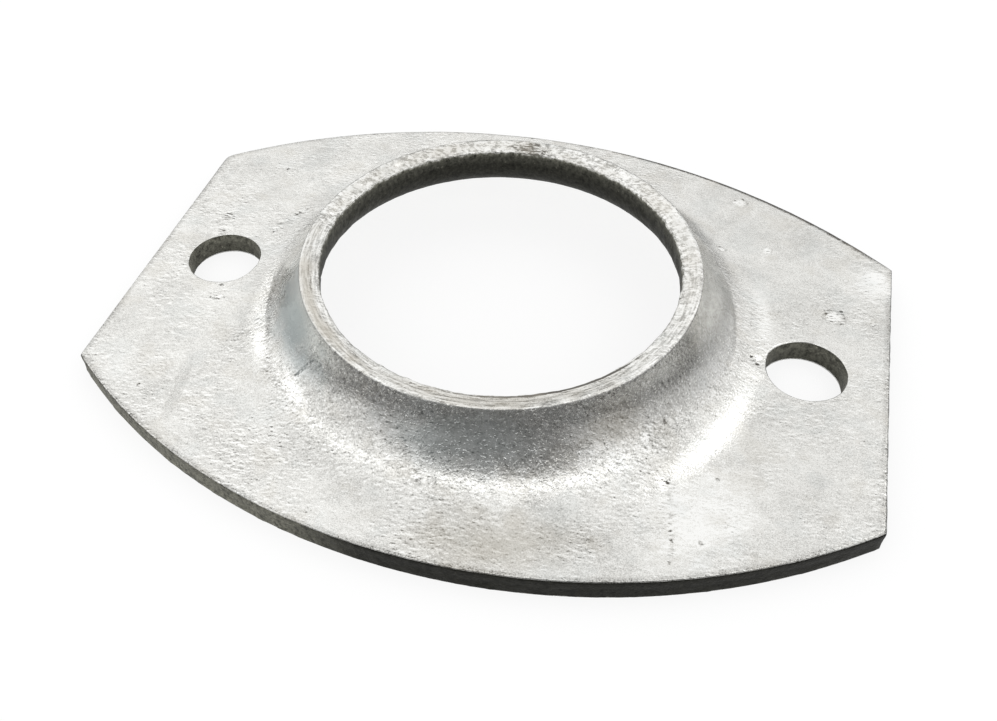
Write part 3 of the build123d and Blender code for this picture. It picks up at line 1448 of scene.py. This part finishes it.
@dataclass(frozen=True)
class Canvas:
    """What the zinc's look is worked out from.

    Attributes:
        mix: The material that is being written.
        place: The object's own coordinates, in metres.
        cover: The covers that the mesh carries, by name.
        flat: The place on the plate in millimetres, made ragged by noise.
        radius: How far it is from the bore's axis, in millimetres.
        azimuth: Its bearing in degrees from +X towards +Y.
        groove: The place rolled out along the bore, in metres, for lines that run round it.
        drift: Slow noise from 0 to 1, which makes lines wander.
        breaks: Noise from 0 to 1, which breaks them up.
        bloom: Noise the size of the zinc's dull patches.
        lumps: Noise the size of its lumps.
        grain: Noise the size of its grain.
        fine: Noise finer than its grain.
    """

    mix: Recipe
    place: Wire
    cover: dict[str, Wire]
    flat: Wire
    radius: Wire
    azimuth: Wire
    groove: Wire
    drift: Wire
    breaks: Wire
    bloom: Wire
    lumps: Wire
    grain: Wire
    fine: Wire

    @classmethod
    def over(cls, mix: Recipe) -> "Canvas":
        """Makes the canvas of a material.

        Args:
            mix: The material.

        Returns:
            The canvas.
        """
        place = mix.node("TexCoord", out="Object")
        names = ["wall", "rim", "drawn", "upper", "brink_shade", "crinkled", "pale"]
        names += [hue.value for hue in Hue]
        shaken = mix.node("TexNoise", Vector=place, Scale=1.0 / (0.6 * MM), Detail=1.0, out="Color")
        still = mix.vector("MULTIPLY_ADD", place, (1000.0, 1000.0, 0.0), (-0.4, -0.4, 0.0))
        x, y = mix.dot(place, (1000.0, 0.0)), mix.dot(place, (0.0, 1000.0))
        radius = (x * x + y * y) ** 0.5
        rolled = 2.6 * MM * radius**-1.0
        return cls(
            mix=mix,
            place=place,
            cover={name: mix.cover(name) for name in names},
            flat=mix.vector("MULTIPLY_ADD", shaken, (0.8, 0.8, 0.0), still),
            radius=radius,
            azimuth=x.reckon("ARCTAN2", y, x) * math.degrees(1.0),
            groove=mix.node("CombineXYZ", X=x * rolled, Y=y * rolled, Z=radius * MM),
            drift=mix.noise(place, Pattern.DRIFT),
            breaks=mix.noise(place, Pattern.BREAKS),
            bloom=mix.noise(place, Pattern.BLOOM),
            lumps=mix.noise(place, Pattern.LUMPS),
            grain=mix.noise(place, Pattern.GRAIN),
            fine=mix.noise(place, Pattern.FINE),
        )

    def stretched(self, scale: tuple[float, float, float], turn: float = 0.0) -> Wire:
        """The place, for a pattern drawn out along its axes and turned about Z."""
        settings = {"vector_type": "TEXTURE"}
        angles = (0.0, 0.0, turn)
        return self.mix.node("Mapping", settings, Vector=self.place, Rotation=angles, Scale=scale)


@dataclass(frozen=True)
class Zinc:
    """Hot-dip zinc on steel: bright and finely grained on top, its cut walls grey and painted dark
    as shade.

    Attributes:
        bright: The colour of clean zinc.
        dull: The colour of the duller cloud in it.
        cool: The colour where the drawn neck was burnished, and of a cool stain.
        warm: The colour of a warm stain.
        torn: The near-black painted shadow on a pierced or sheared wall.
        scale: The colour of the grey scale on such a wall, where it is painted as lit.
        fleck_and_glint: The colour of the brightest grains and of painted highlights.
        pit_and_shade: The darkest colour: a pit's floor, and the painted shade in creases, along
            the brink and at the rim's inner edge.
        lip: The heights, in millimetres, between which zinc covers the bore's wall.
    """

    bright: Colour = (0.82, 0.815, 0.785)
    dull: Colour = (0.58, 0.575, 0.55)
    cool: Colour = (0.52, 0.57, 0.575)
    warm: Colour = (0.53, 0.49, 0.415)
    torn: Colour = (0.003, 0.003, 0.002)
    scale: Colour = (0.34, 0.335, 0.275)
    fleck_and_glint: Colour = (0.95, 0.95, 0.93)
    pit_and_shade: Colour = (0.10, 0.095, 0.085)
    lip: tuple[float, float] = (12.90, 13.35)

    def bare(self, canvas: Canvas) -> Wire:
        """Where a cut wall shows.

        Args:
            canvas: The material's canvas.

        Returns:
            A cover from 0 to 1, ragged by the grain. Near the rim the zinc laps over
            the bore's wall, as far down as its lumps reach.
        """
        mix = canvas.mix
        high = mix.node("SeparateXYZ", out="Z", Vector=canvas.place) * (1.0 / MM)
        lapped = mix.ramp(high + (canvas.lumps - 0.5) * 1.3, *self.lip)
        wall = mix.ramp(canvas.cover["wall"] + (canvas.grain - 0.5) * 0.4, 0.35, 0.65)
        return wall * (1.0 - lapped)

    def fold_light_and_shade(self, canvas: Canvas, busier: Wire) -> Wire:
        """The lit and shaded sides of the zinc's wrinkles.

        Args:
            canvas: The material's canvas.
            busier: How much more wrinkled the marks make it.

        Returns:
            The tone that fine wrinkles and coarse ripples add, strongest where the mesh
            says that it is rough, with the shaded sides weaker than the lit ones.
        """
        mix, cover = canvas.mix, canvas.cover
        slant = canvas.stretched((1.7, 1.0, 1.0), 0.12)
        lean = mix.facet(slant, Pattern.WRINKLE) * 2.8 + mix.facet(slant, Pattern.RIPPLE) * 0.9
        busy = 0.25 + mix.ramp(mix.noise(canvas.place, Pattern.VIGOUR), 0.38, 0.62) * 0.7
        busy = busy + cover["rough"] + cover["crinkled"] + cover["drawn"] * 0.5 + busier
        fold_light_and_shade = lean * busy.above(0.08)
        return fold_light_and_shade.above(fold_light_and_shade * 0.45)

    def tone(self, canvas: Canvas) -> Wire:
        """How bright the zinc is.

        Args:
            canvas: The material's canvas.

        Returns:
            A number about 0, for dull zinc below it and bright above: clouds, bloom,
            grain and the painted lit and shaded sides of wrinkles, with grooves and flakes
            on the rim, and then the marks with their painted highlights and shade, the
            patches of painted highlight and shade, and the painted shade along the
            outline's brink.
        """
        mix, place, cover = canvas.mix, canvas.place, canvas.cover
        rim, crinkled, upper = cover["rim"], cover["crinkled"], cover["upper"]
        marks = [mark.painted(canvas) for mark in (*MARKS, *CREASES)]
        lighter = [mark[0] for mark in marks]
        lighter += [sheen_line.painted(canvas) for sheen_line in SHEEN_LINES]
        tone = (mix.noise(place, Pattern.CLOUD) - 0.5) * 0.75
        tone = tone + (canvas.bloom - 0.5) * (0.50 + cover["drawn"] * 0.5)
        tone = tone + (canvas.grain - 0.5) * 0.6 + (canvas.fine - 0.5) * 1.5
        tone = tone + self.fold_light_and_shade(canvas, total([mark[1] for mark in marks]) * upper)
        grooves = (mix.noise(canvas.groove, Pattern.GROOVES) - 0.5) * (1.0 - crinkled * 0.7)
        flakes = (mix.noise(place, Pattern.FLAKES) - 0.5) * (crinkled * 3.5 + 1.0)
        tone = tone + (grooves * 3.4 + flakes + crinkled * 0.1) * rim
        tone = tone.above(rim * 0.65 - 1.2)
        # Painted highlights and shade from the marks and patches, and painted shade along the
        # outline's brink.
        return tone + total(lighter) * upper + cover["shade"] - cover["brink_shade"] * 1.5

    def coating(self, canvas: Canvas) -> Wire:
        """The zinc's colour: its tone's, with faint stains and the mesh's patches."""
        mix, cover = canvas.mix, canvas.cover
        tone = self.tone(canvas)
        colour = mix.blend(mix.ramp(tone, -0.34, 0.28), self.dull, self.bright)
        # The brightest tone: bright grains and painted highlights alike.
        colour = mix.blend(mix.ramp(tone, 0.24, 0.60), colour, self.fleck_and_glint)
        # The darkest tone: pits, and painted shade in creases, along the brink and at the rim's
        # inner edge.
        colour = mix.blend(mix.ramp(tone, -0.26, -0.95), colour, self.pit_and_shade)
        stains = mix.noise(canvas.place, Pattern.STAINS)
        colour = mix.blend(mix.ramp(stains, 0.54, 0.66) * 0.16, colour, self.warm)
        colour = mix.blend(mix.ramp(stains, 0.46, 0.34) * 0.12, colour, self.cool)
        colour = mix.blend(cover["cool"] * cover["drawn"], colour, self.cool)
        return mix.blend(cover["warm"], colour, self.warm)

    def cut_wall(self, canvas: Canvas) -> Wire:
        """A cut wall's colour: painted shade from near-black up to the grey scale's own colour, as
        lit as the pale cover paints it, mottled, streaked and chipped.
        """
        mix = canvas.mix
        streaks = mix.noise(canvas.stretched((1.0, 1.0, 4.0)), Pattern.STREAKS)
        mottle = 1.0 + (canvas.grain - 0.5) * 1.8 + (canvas.lumps - 0.5) * 2.2
        mottle = mottle + (streaks - 0.5) * 1.1
        chips = mix.ramp(mix.noise(canvas.place, Pattern.CHIPS), 0.66, 0.76) * 1.5
        # The pale cover paints the wall's shade between the near-black shadow and the lit grey
        # scale.
        return mix.blend(canvas.cover["pale"] * (mottle + chips), self.torn, self.scale)

    def roughness(self, canvas: Canvas, bare: Wire) -> Wire:
        """How rough the surface is, from the grain, the mesh's covers and the bare walls."""
        cover = canvas.cover
        rough = 0.17 + canvas.grain * 0.10 + cover["rim"] * 0.10 + cover["drawn"] * 0.03
        rough = rough + bare * 0.35 + cover["cool"] * canvas.bloom * 0.18
        return rough - canvas.mix.ramp(cover["shade"], 0.3, 0.8) * 0.05

    def normal(self, canvas: Canvas, bare: Wire) -> Wire:
        """The finest relief: grain, the drawn neck's beads, torn walls, the rim's lumps."""
        mix, cover, lumps = canvas.mix, canvas.cover, canvas.lumps
        beads = mix.ramp(mix.noise(canvas.place, Pattern.BEADS), 0.57, 0.72) * cover["drawn"]
        height = canvas.grain * 0.022 + canvas.fine * 0.008 + canvas.bloom * 0.024
        height = height + lumps * 0.012 + beads * 0.034 + cover["crinkled"] * lumps * 0.05
        height = height + bare * (canvas.grain * 0.03 + lumps * 0.06)
        return mix.node("Bump", Strength=1.0, Distance=MM, Height=height)

    def material(self) -> bpy.types.Material:
        """Writes the zinc's material.

        Returns:
            The material: clouds, grain and flecks by noise in the object's own
            coordinates, and the walls, rim, neck and marks by the mesh's covers.
        """
        material = bpy.data.materials.new("galvanised_steel")
        material.use_nodes = True
        mix = Recipe(material.node_tree)
        canvas = Canvas.over(mix)
        bare = self.bare(canvas)
        shader = mix.node(
            "BsdfPrincipled",
            Base_Color=mix.blend(bare, self.coating(canvas), self.cut_wall(canvas)),
            Metallic=1.0 - bare * 0.6,
            Roughness=self.roughness(canvas, bare),
            Normal=self.normal(canvas, bare),
            Specular_IOR_Level=0.1,
        )
        mix.node("OutputMaterial", Surface=shader)
        return material


# --- The studio ---


def facing(spot: Vector, aim: Vector) -> Matrix:
    """Where a sheet or a lamp stands when its -Z faces a point.

    Args:
        spot: Its place.
        aim: What it faces.

    Returns:
        Its matrix.
    """
    turn = (aim - spot).to_track_quat("-Z", "Y")
    return Matrix.Translation(spot) @ turn.to_matrix().to_4x4()


def bearing(azimuth: float, elevation: float, distance: float) -> Vector:
    """A point round the plate's middle.

    Args:
        azimuth: In degrees from +X towards +Y.
        elevation: In degrees above the floor.
        distance: In metres.

    Returns:
        The point.
    """
    turn, rise = math.radians(azimuth), math.radians(elevation)
    flat = distance * math.cos(rise)
    return Vector((flat * math.cos(turn), flat * math.sin(turn), distance * math.sin(rise)))


@dataclass(frozen=True)
class Softbox:
    """A long soft lamp, hung between two points of the room and facing the plate.

    Attributes:
        name: What it is called.
        start: The bearing of one end: degrees from +X towards +Y, and degrees up.
        stop: The bearing of the other end.
        breadth: Its other side in metres.
        glow: How bright its face is, where 1 is white.
        distance: How far its ends are from the plate, in metres.
    """

    name: str
    start: tuple[float, float]
    stop: tuple[float, float]
    breadth: float
    glow: float
    distance: float = 0.7

    def build(self) -> None:
        """Makes the lamp. Its power is its glow times its area times pi."""
        ends = [bearing(*end, self.distance) for end in (self.start, self.stop)]
        along = ends[1] - ends[0]
        middle = (ends[0] + ends[1]) / 2
        lamp = bpy.data.lights.new(self.name, "AREA")
        lamp.shape = "RECTANGLE"
        lamp.size, lamp.size_y = along.length, self.breadth
        lamp.energy = self.glow * math.pi * along.length * self.breadth
        across = middle.cross(along).normalized()
        axes = Matrix((along.normalized(), across, along.cross(across).normalized()))
        holder = bpy.data.objects.new(self.name, lamp)
        holder.matrix_world = Matrix.Translation(middle) @ axes.transposed().to_4x4()
        holder.visible_camera = False
        bpy.context.scene.collection.objects.link(holder)


@dataclass(frozen=True)
class Flag:
    """A dark sheet that only reflections see.

    Attributes:
        name: What it is called.
        azimuth: Where it stands, in degrees from +X towards +Y.
        elevation: How high its middle is, in degrees.
        distance: How far from the plate, in metres.
        size: Its sides in metres.
        shade: How grey it is.
    """

    name: str
    azimuth: float
    elevation: float
    distance: float
    size: tuple[float, float]
    shade: float

    def build(self) -> None:
        """Makes the sheet."""
        wide, high = self.size[0] / 2, self.size[1] / 2
        where = facing(bearing(self.azimuth, self.elevation, self.distance), Vector((0, 0, 0)))
        corners = [where @ Vector((x * wide, y * high, 0.0)) for x, y in SQUARE]
        reflected_only(self.name, corners, [(0, 1, 2, 3)], self.shade)


@dataclass(frozen=True)
class Apron:
    """A dark ring on the floor round the plate, which only reflections see: painted shade of the
    floor round the plate, for the metal to reflect.

    Attributes:
        name: What it is called.
        inner: Its inner half axes along and across the plate, in metres.
        outer: Its outer radius in metres.
        shade: How grey it is.
    """

    name: str
    inner: tuple[float, float]
    outer: float
    shade: float

    def build(self) -> None:
        """Makes the ring, as an ellipse and a circle joined by a band of faces."""
        turn = np.linspace(0.0, 2 * math.pi, 64, endpoint=False)
        circle = np.stack([np.cos(turn), np.sin(turn), 0 * turn], axis=1)
        points = np.concatenate([circle * (*self.inner, 0.0), circle * self.outer])
        points[:, 2] = 0.5 * MM
        first = np.arange(64)
        after = (first + 1) % 64
        faces = np.stack([first, first + 64, after + 64, after], axis=1)
        reflected_only(self.name, points, faces, self.shade)


def laid(name: str, points: Any, faces: Any) -> tuple[bpy.types.Object, Recipe]:
    """Adds a sheet to the scene.

    Args:
        name: What it is called.
        points: Its corners.
        faces: Its faces.

    Returns:
        The sheet, and its material's empty recipe.
    """
    mesh = bpy.data.meshes.new(name)
    mesh.from_pydata(list(map(tuple, points)), [], list(map(tuple, faces)))
    material = bpy.data.materials.new(name)
    material.use_nodes = True
    mesh.materials.append(material)
    sheet = bpy.data.objects.new(name, mesh)
    bpy.context.scene.collection.objects.link(sheet)
    return sheet, Recipe(material.node_tree)


def reflected_only(name: str, points: Any, faces: Any, shade: float) -> None:
    """Makes a sheet that only reflections see.

    Args:
        name: What it is called.
        points: Its corners.
        faces: Its faces.
        shade: How grey it is.
    """
    sheet, mix = laid(name, points, faces)
    glow = mix.node("Emission", Color=(shade,) * 3, Strength=1.0)
    mix.node("OutputMaterial", Surface=glow)
    sheet.visible_camera = False
    sheet.visible_diffuse = False
    sheet.visible_shadow = False
    sheet.visible_transmission = False


@dataclass(frozen=True)
class Floor:
    """The pale floor.

    Attributes:
        span: Its side in metres.
        colour: Its colour.
        lift: What the camera and reflections see added, so that it comes out white.
        gap: How far under the plate it is, in metres.
    """

    span: float = 3.0
    colour: Colour = (0.22, 0.22, 0.22)
    lift: float = 0.82
    gap: float = 0.02 * MM

    def build(self) -> None:
        """Makes the floor just under the plate."""
        half = self.span / 2
        corners = [(x * half, y * half, -self.gap) for x, y in SQUARE]
        floor, mix = laid("floor", corners, [(0, 1, 2, 3)])
        matt = mix.node("BsdfDiffuse", Color=self.colour)
        strength = seen_directly(mix) * self.lift
        glow = mix.node("Emission", Color=(1.0, 1.0, 1.0), Strength=strength)
        mix.node("OutputMaterial", Surface=mix.node("AddShader", i0=matt, i1=glow))


def seen_directly(mix: Recipe) -> Wire:
    """1 for rays from the camera and for those that metal or glass send on."""
    names = ("Is Camera Ray", "Is Glossy Ray", "Is Transmission Ray")
    camera, glossy, through = (mix.node("LightPath", out=name) for name in names)
    return camera.above(glossy.above(through))


@dataclass(frozen=True)
class Backdrop:
    """The white room round the plate.

    Attributes:
        seen: How bright it looks, where 1 is white.
        cast: How much light it sheds.
    """

    seen: float = 1.0
    cast: float = 0.8

    def build(self) -> None:
        """Makes the world."""
        world = bpy.data.worlds.new("room")
        world.use_nodes = True
        mix = Recipe(world.node_tree)
        strength = self.cast + seen_directly(mix) * (self.seen - self.cast)
        glow = mix.node("Background", Color=(1.0, 1.0, 1.0), Strength=strength)
        mix.node("OutputWorld", Surface=glow)
        bpy.context.scene.world = world


@dataclass(frozen=True)
class View:
    """Where the camera stands.

    Attributes:
        aim: The point that it turns about.
        distance: From the aim, in metres.
        azimuth: In degrees, with 0 looking along +Y and +X to the right.
        elevation: In degrees above the plate.
        roll: In degrees about the line of sight.
        lens: In millimetres, on a sensor 36 mm wide.
        shift: Along and up the frame, as a share of its width.
    """

    aim: tuple[float, float, float] = (-3.05 * MM, -12.1 * MM, 3.5 * MM)
    distance: float = 143.7 * MM
    azimuth: float = 17.508
    elevation: float = 47.094
    roll: float = -1.289
    lens: float = 37.549
    shift: tuple[float, float] = (0.0440, 0.0046)

    def place(self) -> Matrix:
        """The camera's place: right, up and back axes, and its position."""
        turn, rise = math.radians(self.azimuth), math.radians(self.elevation)
        back = Vector(
            (math.sin(turn) * math.cos(rise), -math.cos(turn) * math.cos(rise), math.sin(rise))
        )
        right = Vector((math.cos(turn), math.sin(turn), 0.0))
        up = back.cross(right)
        lean = math.radians(self.roll)
        across = right * math.cos(lean) + up * math.sin(lean)
        above = up * math.cos(lean) - right * math.sin(lean)
        spot = Vector(self.aim) + back * self.distance
        axes = Matrix((across, above, back)).transposed()
        return Matrix.Translation(spot) @ axes.to_4x4()

    def build(self) -> None:
        """Makes the camera and gives it to the scene."""
        camera = bpy.data.objects.new("camera", bpy.data.cameras.new("camera"))
        camera.data.sensor_width = 36.0
        camera.data.lens = self.lens
        camera.data.shift_x, camera.data.shift_y = self.shift
        camera.data.clip_start = 5.0 * MM
        camera.matrix_world = self.place()
        bpy.context.scene.collection.objects.link(camera)
        bpy.context.scene.camera = camera


LAMPS = [
    Softbox("front", (-112.0, 45.0), (-10.0, 41.0), 0.095, 0.75),
    Softbox("front_left", (-184.0, 14.0), (-120.0, 53.0), 0.10, 0.50),
    Softbox("left_back", (162.0, 26.0), (142.0, -2.0), 0.10, 0.55),
    Softbox("right_back", (25.0, 58.0), (48.0, 37.0), 0.18, 0.95),
    Softbox("left_sky", (122.0, 32.0), (150.0, 60.0), 0.45, 0.12),
]
FLAGS = [
    Flag("front_flag", -73.0, 22.0, 0.6, (0.72, 0.53), 0.24),
    Flag("low_front", -80.0, 15.0, 0.9, (2.6, 0.62), 0.54),
    Flag("low_right", 12.0, 6.0, 0.9, (1.2, 0.46), 0.60),
    Flag("low_back", 75.0, 2.0, 0.9, (1.0, 0.12), 0.40),
]
APRONS = [
    Apron("floor_shade_ring", (0.066, 0.050), 0.9, 0.16),
]


def main() -> None:
    """Builds the flange and its studio."""
    logging.basicConfig(level=logging.INFO, format="%(name)s: %(message)s")
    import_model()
    plate = FlangePlate("flange_plate", *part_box("flange_plate"))
    piece = plate.build(Zinc())
    LOG.info("%s: %d faces", piece.name, len(piece.data.polygons))
    for item in (View(), Backdrop(), Floor(), *LAMPS, *FLAGS, *APRONS):
        item.build()
        LOG.info("built %s", item)
    bpy.context.scene.view_settings.view_transform = "Standard"


if __name__ == "__main__":
    main()
